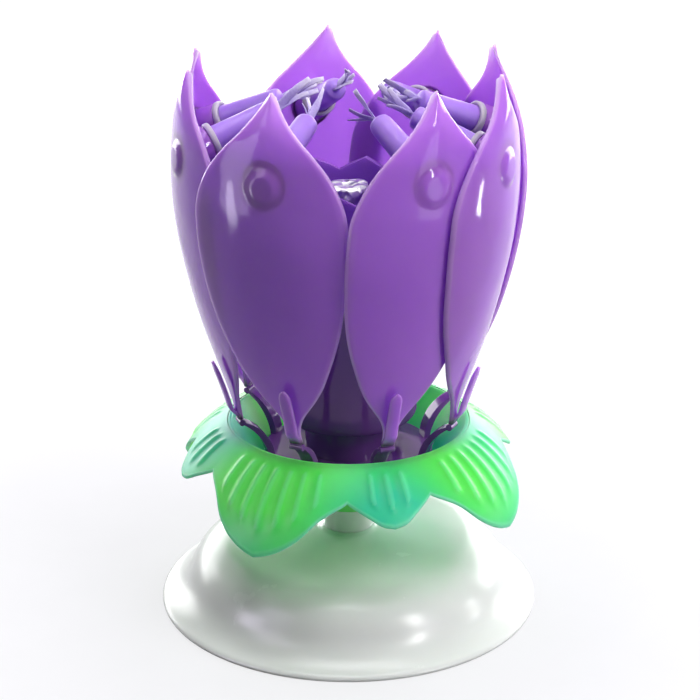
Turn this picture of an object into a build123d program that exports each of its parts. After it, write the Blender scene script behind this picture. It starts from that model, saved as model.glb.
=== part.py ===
from build123d import *
import math
import os

# Musical birthday candle: a closed lotus bud on a round stand.
# Lengths are millimetres, angles are degrees. +Z is up and the origin is the
# middle of the stand's underside. An azimuth counts from -Y towards +X.
# The bud turns on the stand's spindle, and each petal folds outwards on a
# thin hinge just above the rim of the green leaf cup.

# Fits and clearances
running_fit = 0.05
press_gap = 0.02
thrust_gap = 0.1
free_gap = 0.3
cut_overrun = 1.0

# Stand: a hollow dome with a flared brim, open below
plateau_radius = 22.5
shoulder_width = 7.2
flare_width = 5.3
brim_edge = 0.8
flare_height = 4.4
shoulder_height = 6.8
plateau_rise = 2.0
stand_wall = 1.4
stand_rib_count = 6
stand_rib_thickness = 1.2
stand_rib_clear = 2.5
socket_wall = 2.2
flare_sag_share = 0.16
shoulder_bulge_share = 0.2

# Post: the stem that shows, a tenon below it and the spindle above it
stem_radius = 4.5
stem_length = 5.6
tenon_radius = 3.0
tenon_length = 8.0
spindle_radius = 2.2
spindle_nose = 0.4
clip_thickness = 0.5

# Leaf cup: bowl, bearing column and eight drooping leaves
cup_foot_radius = 8.0
cup_wall = 1.2
cup_depth = 15.7
cup_seat_height = 8.8
cup_foot_height = 1.4
column_radius = 6.5
bowl_gap = 1.2
rim_gap = 0.8
rim_width = 0.9
leaf_thickness = 1.0
leaf_spread = 10.8
leaf_drop = 14.2
leaf_arch_share = 0.16
small_leaf_reach_share = 0.94
notch_drop = 4.2
small_leaf_drop = 8.2
big_edge_shares = [(0.33, 0.29), (0.53, 0.6), (0.74, 0.84), (0.91, 0.96)]
small_edge_shares = [(0.48, 0.55), (0.74, 0.87)]
leaf_rib_height = 0.35
leaf_rib_width = 0.7
leaf_rib_step = 7.0
leaf_rib_reach_share = 0.62
big_leaf_ribs = 5
small_leaf_ribs = 3
first_notch_azimuth = -0.5
big_leaf_angle = 59.0
small_leaf_angle = 31.0
leaf_pair_count = 4

# Petal ring: root disc, raised seat for the hub and eight necks
petal_count = 8
first_petal_azimuth = -26.0
root_radius = 15.4
root_thickness = 1.2
hub_lift = 6.3
ring_column_radius = 8.0
spigot_radius = 4.0
neck_width = 2.6
neck_thickness = 1.0
hinge_radius = 20.5
hinge_rise = 8.9
knuckle_radius = 0.6
neck_bow_share = 0.16

# Petal blade: outer face from the neck to the pointed tip
blade_height = 64.2
blade_foot_gap = 0.4
blade_radius = 30.6
blade_half_width_share = 0.4575
blade_thickness = 0.9
blade_twist = 4.6
sheet_half_angle = 40
tip_half_width = 0.45
tip_round = 0.3
swell_shares = [(0.0, 0.0), (0.055, 0.055), (0.1, 0.13), (0.16, 0.27), (0.257, 0.49), (0.38, 0.715),
                (0.528, 0.915), (0.66, 1.0), (0.819, 0.955), (0.907, 0.89), (1.0, 0.735)]
width_shares = [(0.05, 0.095), (0.085, 0.165), (0.11, 0.25), (0.133, 0.335), (0.19, 0.507), (0.241, 0.62),
                (0.3, 0.735), (0.365, 0.835), (0.489, 0.95), (0.613, 1.0), (0.69, 0.985), (0.752, 0.885),
                (0.799, 0.757), (0.845, 0.58), (0.892, 0.365), (0.938, 0.19)]

# Sideways lean of each petal's tip and bow of its middle, as the photograph shows them
petal_leans = [-0.6, 5.0, -0.6, 1.7, -5.1, -6.2, 3.7, -1.0]
petal_bows = [-1.6, 1.3, -2.2, 0.0, 0.0, 0.0, 0.0, -2.1]

# Spike: the free strip in front of each petal's neck
spike_width = 2.4
spike_thickness = 0.9
spike_height = 11.5
spike_foot_height = 1.2
spike_foot_reach = 1.3
spike_lean = 3.4
spike_point_share = 0.25

# Candle socket in each petal, the candle, its collar and its wick
socket_height_share = 0.76
seat_swell_share = 0.97
candle_slope = 22.0
candle_radius = 2.4
candle_end_radius = 2.0
candle_length = 17.2
candle_inset = 1.4
holder_wall = 0.7
holder_length = 4.8
boss_radius = 2.8
boss_height = 0.7
collar_wall = 0.75
collar_length = 1.1
wick_radius = 0.5
wick_hole_depth = 3.0
wick_straight = 2.4
wick_bent = 6.2
wick_yaws = [14, 24, 9, 19, 27, 11, 22, 16]
wick_pitches = [8, -12, 16, 3, -8, 12, -4, 18]

# Motor, button cells and gears
motor_radius = 5.0
motor_height = 11.5
motor_cap_height = 0.9
motor_cap_step = 0.5
motor_shaft_radius = 0.5
motor_shaft_reach = 6.0
terminal_width = 1.2
terminal_thickness = 0.4
terminal_spread = 2.6
cell_radius = 5.8
cell_height = 5.4
cell_count = 2
cell_edge = 0.5
bay_gap = 0.7
sun_teeth = 18
idler_small_teeth = 8
idler_large_teeth = 26
pinion_teeth = 8
gear_wall_gap = 0.6
sun_height = 2.0
idler_step = 0.4
idler_gear_height = 1.4
pinion_height = 1.8
pinion_overhang = 0.2
idler_pin_radius = 0.6
pin_boss_wall = 0.8
pin_boss_height = 0.2
tooth_addendum_share = 0.8
tooth_dedendum_share = 1.2
tooth_tip_share = 0.22
tooth_root_share = 0.5

# Hub housing round them, motor deck, board, sounder and contacts
housing_wall = 1.0
housing_floor = 1.2
housing_round = 2.0
deck_gap = 0.7
deck_thickness = 1.2
deck_ledge = 1.2
board_gap = 0.2
board_ledge_height = 0.6
board_thickness = 1.0
chip_radius = 3.0
chip_height = 1.1
chip_round_share = 0.7
sounder_radius = 9.0
sounder_thickness = 0.4
contact_thickness = 0.3
contact_width = 3.0
contact_reach = 6.6
housing_over_board = 1.6
spigot_wall = 0.9
spigot_length = 1.4

# Crown: the open cup round the fountain, with eight pointed scallops
crown_wall = 0.9
crown_floor = 1.2
crown_floor_rise = 1.0
crown_height = 19.5
crown_scallop = 2.6
crown_azimuth = -15.2
holder_tube_wall = 1.0
holder_tube_height = 4.8

# Fountain: card tube, charge and crumpled foil
fountain_radius = 3.5
fountain_wall = 0.8
fountain_height = 17.0
charge_drop = 0.8
foil_thickness = 0.5
foil_crumple = 0.3
foil_fold = 0.5
foil_mouth_radius = 1.6
foil_facets = 18
foil_levels = 4

# Heights of the stack, each from the piece below it
foot_z = brim_edge + flare_height
plateau_z = foot_z + shoulder_height
crest_z = plateau_z + plateau_rise
stem_top_z = crest_z + stem_length
cup_z = stem_top_z + thrust_gap
rim_z = cup_z + cup_depth
ring_z = cup_z + cup_seat_height
ring_top_z = ring_z + root_thickness
hinge_z = ring_z + hinge_rise
housing_z = ring_top_z + hub_lift
bay_floor_z = housing_z + housing_floor
sun_z = bay_floor_z + free_gap
clip_z = sun_z + sun_height + press_gap
spindle_top_z = clip_z + clip_thickness + spindle_nose
idler_gear_z = spindle_top_z + idler_step
idler_top_z = idler_gear_z + idler_gear_height
deck_z = idler_top_z + deck_gap
deck_top_z = deck_z + deck_thickness
cell_z = deck_top_z + contact_thickness
cells_top_z = cell_z + cell_count * cell_height
motor_top_z = deck_top_z + motor_height
cap_top_z = motor_top_z + motor_cap_height
bay_top_z = max(cap_top_z, cells_top_z + contact_thickness)
ledge_z = bay_top_z + board_gap
board_z = ledge_z + board_ledge_height
board_top_z = board_z + board_thickness
housing_top_z = board_top_z + housing_over_board
crown_floor_z = housing_top_z + crown_floor_rise
fountain_z = crown_floor_z + crown_floor
fountain_top_z = fountain_z + fountain_height
crown_top_z = fountain_z + crown_height
blade_z = hinge_z + blade_foot_gap
tip_z = blade_z + blade_height
socket_z = blade_z + blade_height * socket_height_share

# Radii that follow from what they hold
foot_radius = plateau_radius + shoulder_width
brim_radius = foot_radius + flare_width
cup_bore = spindle_radius + running_fit
rim_radius = hinge_radius + rim_gap
rim_outer = rim_radius + rim_width
blade_foot_radius = hinge_radius + knuckle_radius
blade_swell = blade_radius - blade_foot_radius
blade_half_width = blade_radius * blade_half_width_share
bay_radius = motor_radius + cell_radius + bay_gap
housing_radius = bay_radius + housing_wall
crown_inner = housing_radius - crown_wall
holder_bore = candle_radius + running_fit

# Gear layout: the fixed sun wheel, the idler beside it and the motor's pinion.
# The large idler wheel reaches almost to the wall, which sets the module.
sun_idler_module = (sun_teeth + idler_small_teeth) / 2
idler_pinion_module = (idler_large_teeth + pinion_teeth) / 2
idler_reach_module = sun_idler_module + idler_large_teeth / 2 + tooth_addendum_share
gear_module = (bay_radius - gear_wall_gap) / idler_reach_module
idler_offset = gear_module * sun_idler_module
pinion_distance = gear_module * idler_pinion_module
motor_offset = bay_radius - motor_radius - running_fit
idler_angle = 180.0
idler_place = (-idler_offset, 0.0)
side_sum = idler_offset**2 + pinion_distance**2 - motor_offset**2
pinion_bearing = math.degrees(math.acos(side_sum / (2 * idler_offset * pinion_distance)))
motor_place = (
    idler_place[0] + pinion_distance * math.cos(math.radians(pinion_bearing)),
    pinion_distance * math.sin(math.radians(pinion_bearing)),
)
motor_angle = math.degrees(math.atan2(motor_place[1], motor_place[0]))
cell_offset = bay_radius - cell_radius - running_fit
sun_root_radius = gear_module * (sun_teeth / 2 - tooth_dedendum_share)


def turned(*points):
    """Solid of revolution about Z from corners (radius, height)."""
    return revolve(Plane.XZ * Polygon(*points, align=None), Axis.Z)


def pillar(radius, low, high, x=0, y=0):
    """Upright cylinder between two heights."""
    bottom = (Align.CENTER, Align.CENTER, Align.MIN)
    return Pos(x, y, low) * Cylinder(radius, high - low, align=bottom)


def at_azimuth(shape, azimuth):
    """Turns a shape made towards +X to an azimuth that counts from -Y."""
    return Rot(0, 0, azimuth - 90) * shape


def petal_azimuth(index):
    return first_petal_azimuth + index * 360 / petal_count


def write(name, shape):
    export_step(shape, f"parts/{name}.step")


def stand_face(inset):
    """Half section of the dome, drawn in by the wall for the hollow."""
    brim = (brim_radius - inset, 0)
    edge = (brim_radius - inset, max(brim_edge - inset, 0))
    foot = (foot_radius - inset, foot_z - inset)
    flat = (plateau_radius - inset, plateau_z - inset)
    crest = (0, crest_z - inset)
    flare = SagittaArc(edge, foot, flare_sag_share * flare_height)
    shoulder = SagittaArc(foot, flat, -shoulder_bulge_share * shoulder_height)
    outline = [flare, shoulder, Polyline(flat, crest, (0, 0), brim)]
    if edge[1] > brim[1]:
        outline.append(Line(brim, edge))
    return Plane.XZ * make_face(outline)


def stand_shell():
    """Milky dome with a flared brim, a socket for the post and ribs below."""
    dome = revolve(stand_face(0), Axis.Z)
    hollow = revolve(stand_face(stand_wall), Axis.Z)
    from_axis = (Align.MIN, Align.CENTER, Align.MIN)
    core = pillar(tenon_radius + press_gap + socket_wall, crest_z - tenon_length, crest_z)
    ribs = []
    for index in range(stand_rib_count):
        rib = Box(brim_radius, stand_rib_thickness, crest_z, align=from_axis)
        rib = Rot(0, 0, index * 360 / stand_rib_count) * Pos(0, 0, stand_rib_clear) * rib
        ribs.append(rib)
    inside = (core + ribs) & hollow
    shell = dome - hollow + inside
    return shell - pillar(tenon_radius + press_gap, 0, crest_z + cut_overrun)


def post():
    """One moulding: tenon in the stand, stem that shows, spindle in the bud."""
    return turned(
        (0, crest_z - tenon_length),
        (tenon_radius, crest_z - tenon_length),
        (tenon_radius, crest_z),
        (stem_radius, crest_z),
        (stem_radius, stem_top_z),
        (spindle_radius, stem_top_z),
        (spindle_radius, spindle_top_z),
        (0, spindle_top_z),
    )


def gear_face(teeth, phase):
    """Outline of a small moulded gear, one tooth centred on the phase angle."""
    pitch_radius = gear_module * teeth / 2
    tip_radius = pitch_radius + gear_module * tooth_addendum_share
    root_radius_here = pitch_radius - gear_module * tooth_dedendum_share
    step = 360 / teeth
    points = []
    for index in range(teeth):
        centre = phase + index * step
        corners = [(root_radius_here, -tooth_root_share), (tip_radius, -tooth_tip_share)]
        corners += [(tip_radius, tooth_tip_share), (root_radius_here, tooth_root_share)]
        for radius, share in corners:
            angle = math.radians(centre + share * step / 2)
            points.append((radius * math.cos(angle), radius * math.sin(angle)))
    return Polygon(*points, align=None)


def gear(teeth, phase, bore, low, high, place=(0.0, 0.0)):
    """Toothed wheel with a bore, between two heights, about an upright axis."""
    wheel = extrude(Pos(place[0], place[1], low) * gear_face(teeth, phase), high - low)
    return wheel - pillar(bore, low - cut_overrun, high + cut_overrun, place[0], place[1])


def half_tooth(teeth):
    return 180 / teeth


def retaining_clip():
    """Spring ring that keeps the bud on the spindle."""
    ring = pillar(sun_root_radius, clip_z, clip_z + clip_thickness)
    ring -= pillar(spindle_radius + press_gap, clip_z - cut_overrun, clip_z + cut_overrun)
    return ring


def leaf_arc(inset):
    """Arched leaf section from the rim to the tip level, drawn in by an inset."""
    start = (rim_outer - inset / 2, rim_z - inset)
    end = (rim_outer + leaf_spread - inset, rim_z - leaf_drop)
    return start, end, SagittaArc(start, end, leaf_arch_share * leaf_drop)


def leaf_skirt(growth):
    """Ring-shaped skirt that the leaves are cut from, thickened by a growth."""
    _, top_end, top = leaf_arc(-growth)
    bottom_start, bottom_end, bottom = leaf_arc(leaf_thickness)
    start = (rim_outer + growth / 2, rim_z + growth)
    face = make_face([top, Line(top_end, bottom_end), bottom, Line(bottom_start, start)])
    return revolve(Plane.XZ * face, Axis.Z)


def leaf_edge(side, tip_y, tip_drop, shares):
    """Edge of a leaf from its notch to its tip: (sideways, height)."""
    points = [(0, rim_z - notch_drop)]
    points += [(side * tip_y * across, rim_z - notch_drop - (tip_drop - notch_drop) * down)
               for across, down in shares]
    points.append((side * tip_y, rim_z - tip_drop))
    return points


def notch_cutter(big_side):
    """Gap between a big and a small leaf, cut outwards along its own azimuth."""
    reach = rim_outer + leaf_spread
    big_tip = reach * math.sin(math.radians(big_leaf_angle / 2))
    small_tip = reach * small_leaf_reach_share * math.sin(math.radians(small_leaf_angle / 2))
    big_edge = leaf_edge(big_side, big_tip, leaf_drop, big_edge_shares)
    small_edge = leaf_edge(-big_side, small_tip, small_leaf_drop, small_edge_shares)
    low = rim_z - leaf_drop - cut_overrun
    past_big = big_side * (big_tip + cut_overrun)
    past_small = -big_side * (small_tip + cut_overrun)
    rest = Polyline(big_edge[-1], (past_big, big_edge[-1][1]), (past_big, low), (past_small, low),
                    (past_small, small_edge[-1][1]), small_edge[-1])
    face = make_face([Spline(*big_edge), rest, Spline(*small_edge)])
    return extrude(Plane.YZ.offset(rim_radius / 2) * face, amount=reach)


def notch_azimuths():
    """Each notch with the side (+1 or -1) on which its big leaf lies."""
    notches = []
    for index in range(leaf_pair_count):
        start = first_notch_azimuth + index * (big_leaf_angle + small_leaf_angle)
        notches.append((start, -1))
        notches.append((start + small_leaf_angle, 1))
    return notches


def leaf_ribs(leaf_middle, drop, count):
    """Raised ribs that fan over one leaf and stop short of its edge."""
    reach = drop * leaf_rib_reach_share
    from_axis = (Align.MIN, Align.CENTER, Align.MAX)
    bar = Pos(rim_radius / 2, 0, rim_z) * Box(brim_radius, leaf_rib_width, reach, align=from_axis)
    bars = []
    for place in range(count):
        azimuth = leaf_middle + (place - (count - 1) / 2) * leaf_rib_step
        bars.append(at_azimuth(bar, azimuth))
    return bars


def leaf_cup():
    """Green moulding: bearing column, bowl, rim and eight ribbed leaves."""
    foot = turned(
        (cup_bore, cup_z),
        (cup_foot_radius, cup_z),
        (cup_foot_radius, cup_z + cup_foot_height),
        (column_radius, cup_z + cup_foot_height),
        (column_radius, ring_z),
        (cup_bore, ring_z),
    )
    waist_radius = root_radius + bowl_gap
    bowl = turned(
        (column_radius - cup_wall, cup_z),
        (cup_foot_radius, cup_z),
        (waist_radius + cup_wall, ring_z - cup_wall),
        (rim_outer, rim_z - cup_wall),
        (rim_outer, rim_z),
        (rim_radius, rim_z),
        (waist_radius, ring_z),
        (cup_foot_radius - cup_wall, cup_z + cup_wall),
        (column_radius - cup_wall, cup_z + cup_wall),
    )
    ribs = []
    for index in range(leaf_pair_count):
        start = first_notch_azimuth + index * (big_leaf_angle + small_leaf_angle)
        ribs += leaf_ribs(start - big_leaf_angle / 2, leaf_drop, big_leaf_ribs)
        ribs += leaf_ribs(start + small_leaf_angle / 2, small_leaf_drop, small_leaf_ribs)
    skirt = leaf_skirt(0) + (leaf_skirt(leaf_rib_height) & (Part() + ribs))
    skirt -= [at_azimuth(notch_cutter(side), azimuth) for azimuth, side in notch_azimuths()]
    return foot + bowl + skirt


def petal_ring():
    """Violet moulding under the hub: root disc, seat and eight hinge necks."""
    body = turned(
        (cup_bore, ring_z),
        (root_radius, ring_z),
        (root_radius, ring_top_z),
        (ring_column_radius, ring_top_z),
        (ring_column_radius, housing_z),
        (spigot_radius, housing_z),
        (spigot_radius, bay_floor_z),
        (cup_bore, bay_floor_z),
    )
    inner = (root_radius - neck_thickness, ring_top_z)
    outer = (root_radius, ring_z)
    knuckle_in = (hinge_radius - neck_thickness / 2, hinge_z)
    knuckle_out = (hinge_radius + neck_thickness / 2, hinge_z)
    bow = neck_bow_share * hinge_rise
    section = make_face([
        SagittaArc(outer, knuckle_out, bow),
        Line(knuckle_out, knuckle_in),
        SagittaArc(knuckle_in, inner, -bow),
        Line(inner, outer),
    ])
    neck = extrude(Plane.XZ * section, neck_width / 2, both=True)
    knuckle = Pos(hinge_radius, 0, hinge_z) * Rot(90, 0, 0) * Cylinder(knuckle_radius, neck_width)
    necks = [at_azimuth(neck + knuckle, petal_azimuth(index)) for index in range(petal_count)]
    return body + necks


def blade_section(inset):
    """Upright curve of the blade's outer face, drawn in by an inset."""
    return [(blade_foot_radius + blade_swell * swell - inset, blade_z + blade_height * height)
            for height, swell in swell_shares]


def aside_at(index, height):
    """How far a petal stands aside at a height, from its lean and its bow."""
    share = (height - blade_z) / blade_height
    return petal_leans[index] * share**2 + 4 * petal_bows[index] * share * (1 - share)


def blade_outline(index):
    """Ogee outline of a petal, seen square on: (sideways, height)."""
    half = [(neck_width / 2, blade_z)]
    half += [(blade_half_width * width, blade_z + blade_height * height)
             for height, width in width_shares]
    half.append((tip_half_width, tip_z - tip_round))
    right = [(aside_at(index, height) + sideways, height) for sideways, height in half]
    left = [(aside_at(index, height) - sideways, height) for sideways, height in reversed(half)]
    tip = ThreePointArc(right[-1], (aside_at(index, tip_z), tip_z), left[0])
    return make_face([Spline(*right), tip, Spline(*left), Line(left[-1], right[0])])


def spike():
    """Free strip that stands in front of the neck, from the blade's foot."""
    root = blade_foot_radius - blade_thickness / 2
    foot_out = blade_foot_radius + spike_foot_reach
    foot_in = foot_out - spike_thickness
    top_out = foot_out + spike_lean
    low = blade_z + blade_foot_gap / 2
    high = low + spike_height
    shoulder = low + 2 * spike_foot_height
    section = make_face([
        Polyline((root, low), (foot_in, low), (foot_out, shoulder)),
        SagittaArc((foot_out, shoulder), (top_out, high), spike_thickness / 2),
        Line((top_out, high), (top_out - spike_thickness, high)),
        SagittaArc((top_out - spike_thickness, high), (foot_in, shoulder), -spike_thickness / 2),
        Polyline((foot_in, shoulder), (root, low + spike_foot_height), (root, low)),
    ])
    strip = extrude(Plane.XZ * section, 2 * spike_width, both=True)
    half = spike_width / 2
    point = (0, high)
    right = (half, high - spike_width)
    left = (-half, high - spike_width)
    outline = make_face([
        Polyline(left, (-half, low), (half, low), right),
        SagittaArc(right, point, -half * spike_point_share),
        SagittaArc(point, left, -half * spike_point_share),
    ])
    return strip & extrude(Plane.YZ * outline, amount=top_out + cut_overrun)


def on_seat(shape, index):
    """Moves a shape from the candle's own frame to its seat on the blade.

    There the origin is the seat, and +Z points to the bud's middle and up.
    """
    seat_radius = blade_foot_radius + blade_swell * seat_swell_share
    aside = math.degrees(math.asin(aside_at(index, socket_z) / seat_radius))
    return Rot(0, 0, aside) * Pos(seat_radius, 0, socket_z) * Rot(0, candle_slope - 90, 0) * shape


def along_candle(radius, start, length):
    """Cylinder on the candle's axis, from a distance along it."""
    bottom = (Align.CENTER, Align.CENTER, Align.MIN)
    return Pos(0, 0, start) * Cylinder(radius, length, align=bottom)


def swept_blade():
    """Part-turned sheet that the blade is cut from, wide enough for the twist."""
    outer = blade_section(0)
    inner = blade_section(blade_thickness)
    inner.reverse()
    face = make_face([Spline(*outer), Line(outer[-1], inner[0]), Spline(*inner), Line(inner[-1], outer[0])])
    return Rot(0, 0, -sheet_half_angle) * revolve(Plane.XZ * face, Axis.Z, 2 * sheet_half_angle)


def twisted(shape):
    """Turns a shape about the neck, so that each petal overlaps the next."""
    return Pos(hinge_radius, 0, 0) * Rot(0, 0, blade_twist) * Pos(-hinge_radius, 0, 0) * shape


def petal(index):
    """Blade with its candle holder, back boss, hinge seat and spike."""
    outline = extrude(Plane.YZ.offset(hinge_radius / 2) * blade_outline(index), amount=blade_radius)
    blade = swept_blade() & outline
    holder = along_candle(holder_bore + holder_wall, 0, candle_inset + holder_length)
    back = Rot(0, -candle_slope, 0) * along_candle(boss_radius, -boss_height, boss_height + candle_inset)
    blade = blade + on_seat(holder + back, index)
    blade -= on_seat(along_candle(holder_bore, candle_inset, candle_length), index)
    blade = twisted(blade) + spike()
    groove = Rot(90, 0, 0) * Cylinder(knuckle_radius + running_fit, 2 * neck_width)
    return blade - Pos(hinge_radius, 0, hinge_z) * groove


def candle(index):
    """Small tapered candle with a hole for its wick."""
    bottom = (Align.CENTER, Align.CENTER, Align.MIN)
    stick = Pos(0, 0, candle_inset) * Cone(candle_radius, candle_end_radius, candle_length, align=bottom)
    hole_z = candle_inset + candle_length - wick_hole_depth
    hole = Pos(0, 0, hole_z) * Cylinder(wick_radius + press_gap, candle_length, align=bottom)
    return twisted(on_seat(stick - hole, index))


def collar(index):
    """Pale ring round the candle, seated on the end of its holder."""
    start = candle_inset + holder_length
    ring = along_candle(holder_bore + collar_wall, start, collar_length)
    ring -= along_candle(holder_bore, start - cut_overrun, 2 * candle_length)
    return twisted(on_seat(ring, index))


def wick(index):
    """Bent wick: a stretch along the candle, then one turned aside."""
    bottom = (Align.CENTER, Align.CENTER, Align.MIN)
    start = candle_inset + candle_length - wick_hole_depth
    first = wick_hole_depth + wick_straight
    straight = Pos(0, 0, start) * Cylinder(wick_radius, first, align=bottom)
    turn = Pos(0, 0, start + first) * Rot(wick_yaws[index], wick_pitches[index], 0)
    bent = turn * Cylinder(wick_radius, wick_bent, align=bottom)
    joint = Pos(0, 0, start + first) * Sphere(wick_radius)
    return twisted(on_seat(straight + joint + bent, index))


def bay_frame(shape):
    """Turns a shape made with the motor towards +X to the motor's azimuth."""
    return Rot(0, 0, motor_angle) * shape


def hub_housing():
    """Violet cup that holds the gears, the motor and the cells."""
    cup = pillar(housing_radius, housing_z, housing_top_z)
    cup = fillet(cup.edges().group_by(Axis.Z)[0], housing_round)
    cup -= pillar(bay_radius, bay_floor_z, housing_top_z + cut_overrun)
    ledge = pillar(bay_radius, bay_floor_z, deck_z) - pillar(bay_radius - deck_ledge, housing_z, deck_z)
    keep = Box(bay_radius, 2 * bay_radius, 2 * housing_top_z, align=(Align.MIN, Align.CENTER, Align.CENTER))
    ledge = ledge & (Pos(idler_pin_radius + deck_ledge, 0, 0) * keep)
    board_ledge = pillar(bay_radius, ledge_z, board_z) - pillar(bay_radius - deck_ledge, ledge_z, board_z)
    cup = cup + ledge + board_ledge
    cup -= pillar(spigot_radius + press_gap, housing_z - cut_overrun, bay_floor_z + cut_overrun)
    boss = pillar(idler_pin_radius + pin_boss_wall, bay_floor_z, bay_floor_z + pin_boss_height, *idler_place)
    hole = pillar(idler_pin_radius + press_gap, housing_z + housing_floor / 2, deck_z, *idler_place)
    return cup + boss - hole


def idler_pin():
    """Steel pin from the housing floor to the deck."""
    return pillar(idler_pin_radius, housing_z + housing_floor / 2, deck_top_z, *idler_place)


def motor_deck():
    """Plate over the gears that carries the motor and the cells."""
    plate = pillar(bay_radius - running_fit, deck_z, deck_top_z)
    below = deck_z - cut_overrun
    above = deck_top_z + cut_overrun
    plate -= pillar(idler_pin_radius + press_gap, below, above, *idler_place)
    return plate - pillar(motor_shaft_radius + free_gap, below, above, *motor_place)


def idler_gear():
    """Two-step wheel: the small gear runs on the sun, the large on the pinion."""
    bore = idler_pin_radius + running_fit
    low = bay_floor_z + pin_boss_height + thrust_gap
    small = gear(idler_small_teeth, half_tooth(idler_small_teeth), bore, low, idler_gear_z, idler_place)
    large = gear(idler_large_teeth, pinion_bearing, bore, idler_gear_z, idler_top_z, idler_place)
    return small + large


def motor_pinion():
    """Small gear on the motor's shaft."""
    low = idler_gear_z - pinion_overhang
    phase = pinion_bearing + 180 + half_tooth(pinion_teeth)
    return gear(pinion_teeth, phase, motor_shaft_radius + press_gap, low, low + pinion_height, motor_place)


def motor_shaft():
    low = idler_gear_z - pinion_overhang
    return pillar(motor_shaft_radius, low, deck_top_z + motor_shaft_reach, *motor_place)


def motor_can():
    """Steel can of the small motor, bored for its shaft."""
    can = pillar(motor_radius, deck_top_z, motor_top_z, *motor_place)
    bore = motor_shaft_radius + running_fit
    bore_top = deck_top_z + motor_shaft_reach + free_gap
    return can - pillar(bore, deck_top_z - cut_overrun, bore_top, *motor_place)


def motor_cap():
    """End bell of the motor, with two terminals that reach the board."""
    cap = pillar(motor_radius - motor_cap_step, motor_top_z, cap_top_z, *motor_place)
    bottom = (Align.CENTER, Align.CENTER, Align.MIN)
    tab = Box(terminal_width, terminal_thickness, board_z - cap_top_z, align=bottom)
    for side in (-1, 1):
        cap += Pos(motor_place[0] + side * terminal_spread, motor_place[1], cap_top_z) * tab
    return cap


def cell(index):
    """Button cell with a stepped lid."""
    low = cell_z + index * cell_height
    high = low + cell_height
    step = high - cell_edge
    can = pillar(cell_radius, low, step, -cell_offset)
    lid = pillar(cell_radius - cell_edge, step, high, -cell_offset)
    return bay_frame(can + lid)


def contact(base_z, side, reach):
    """Brass leaf on a cell face, with a riser beside it up to the board."""
    bottom = (Align.CENTER, Align.CENTER, Align.MIN)
    pad = pillar(contact_width / 2, base_z, base_z + contact_thickness, -cell_offset)
    strip = Box(contact_width, reach, contact_thickness, align=(Align.CENTER, Align.MIN, Align.MIN))
    riser = Box(contact_width, contact_thickness, board_z - base_z, align=bottom)
    leaf = Pos(-cell_offset, 0, base_z) * strip
    leaf += Pos(-cell_offset, reach - contact_thickness / 2, base_z) * riser
    turn = 0 if side > 0 else 180
    about = Pos(-cell_offset, 0, 0) * Rot(0, 0, turn) * Pos(cell_offset, 0, 0)
    return bay_frame(pad + about * leaf)


def circuit_board():
    return pillar(bay_radius - running_fit, board_z, board_top_z)


def melody_chip():
    """Black blob of resin over the melody chip."""
    blob = pillar(chip_radius, board_top_z, board_top_z + chip_height)
    return fillet(blob.edges().group_by(Axis.Z)[-1], chip_height * chip_round_share)


def sounder_disc():
    """Brass sounder disc under the crown's floor."""
    return pillar(sounder_radius, crown_floor_z - sounder_thickness, crown_floor_z)


def crown():
    """Open cup round the fountain: scalloped rim, floor, socket and spigot."""
    inner_spigot = bay_radius - running_fit - spigot_wall
    body = turned(
        (inner_spigot, housing_top_z - spigot_length),
        (bay_radius - running_fit, housing_top_z - spigot_length),
        (bay_radius - running_fit, housing_top_z),
        (housing_radius, housing_top_z),
        (housing_radius, crown_top_z),
        (crown_inner, crown_top_z),
        (crown_inner, fountain_z),
        (0, fountain_z),
        (0, crown_floor_z),
        (inner_spigot, crown_floor_z),
    )
    bore = fountain_radius + running_fit
    tube_top = fountain_z + holder_tube_height
    tube = pillar(bore + holder_tube_wall, fountain_z, tube_top) - pillar(bore, fountain_z, tube_top)
    half = housing_radius * math.tan(math.radians(180 / petal_count))
    low = crown_top_z - crown_scallop
    high = crown_top_z + cut_overrun
    corners = [(0, low), (half, crown_top_z), (half, high), (-half, high), (-half, crown_top_z)]
    gap = Polygon(*corners, align=None)
    notch = extrude(Plane.YZ * gap, amount=housing_radius + cut_overrun)
    notches = []
    for index in range(petal_count):
        azimuth = crown_azimuth + (index + 0.5) * 360 / petal_count
        notches.append(at_azimuth(notch, azimuth))
    return body + tube - notches


def fountain_tube():
    """Card tube of the fountain, standing in the crown's socket."""
    tube = pillar(fountain_radius, fountain_z, fountain_top_z)
    return tube - pillar(fountain_radius - fountain_wall, fountain_z, fountain_top_z + cut_overrun)


def fountain_charge():
    """Pressed sparkler charge inside the tube."""
    return pillar(fountain_radius - fountain_wall - press_gap, fountain_z, fountain_top_z - charge_drop)


def foil_wrap():
    """Crumpled foil round the tube, folded in over its mouth."""
    low = fountain_z + holder_tube_height + free_gap
    high = fountain_top_z + foil_fold
    mean = fountain_radius + foil_thickness + foil_crumple
    rings = []
    for level in range(foil_levels):
        points = []
        for index in range(foil_facets):
            angle = math.radians(index * 360 / foil_facets)
            wave = math.sin(5 * angle + 2 * level) + math.sin(8 * angle - 3 * level)
            radius = mean + foil_crumple * wave / 2
            points.append((radius * math.cos(angle), radius * math.sin(angle)))
        height = low + (high - low) * level / (foil_levels - 1)
        rings.append(Pos(0, 0, height) * Polygon(*points, align=None))
    wrap = loft(rings, ruled=True)
    wrap -= pillar(fountain_radius + press_gap, low - cut_overrun, fountain_top_z)
    return wrap - pillar(foil_mouth_radius, fountain_top_z - cut_overrun, high + cut_overrun)


os.makedirs("parts", exist_ok=True)

write("stand_shell", stand_shell())
write("post", post())
write("sun_gear", gear(sun_teeth, idler_angle, spindle_radius + press_gap, sun_z, sun_z + sun_height))
write("retaining_clip", retaining_clip())

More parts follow.
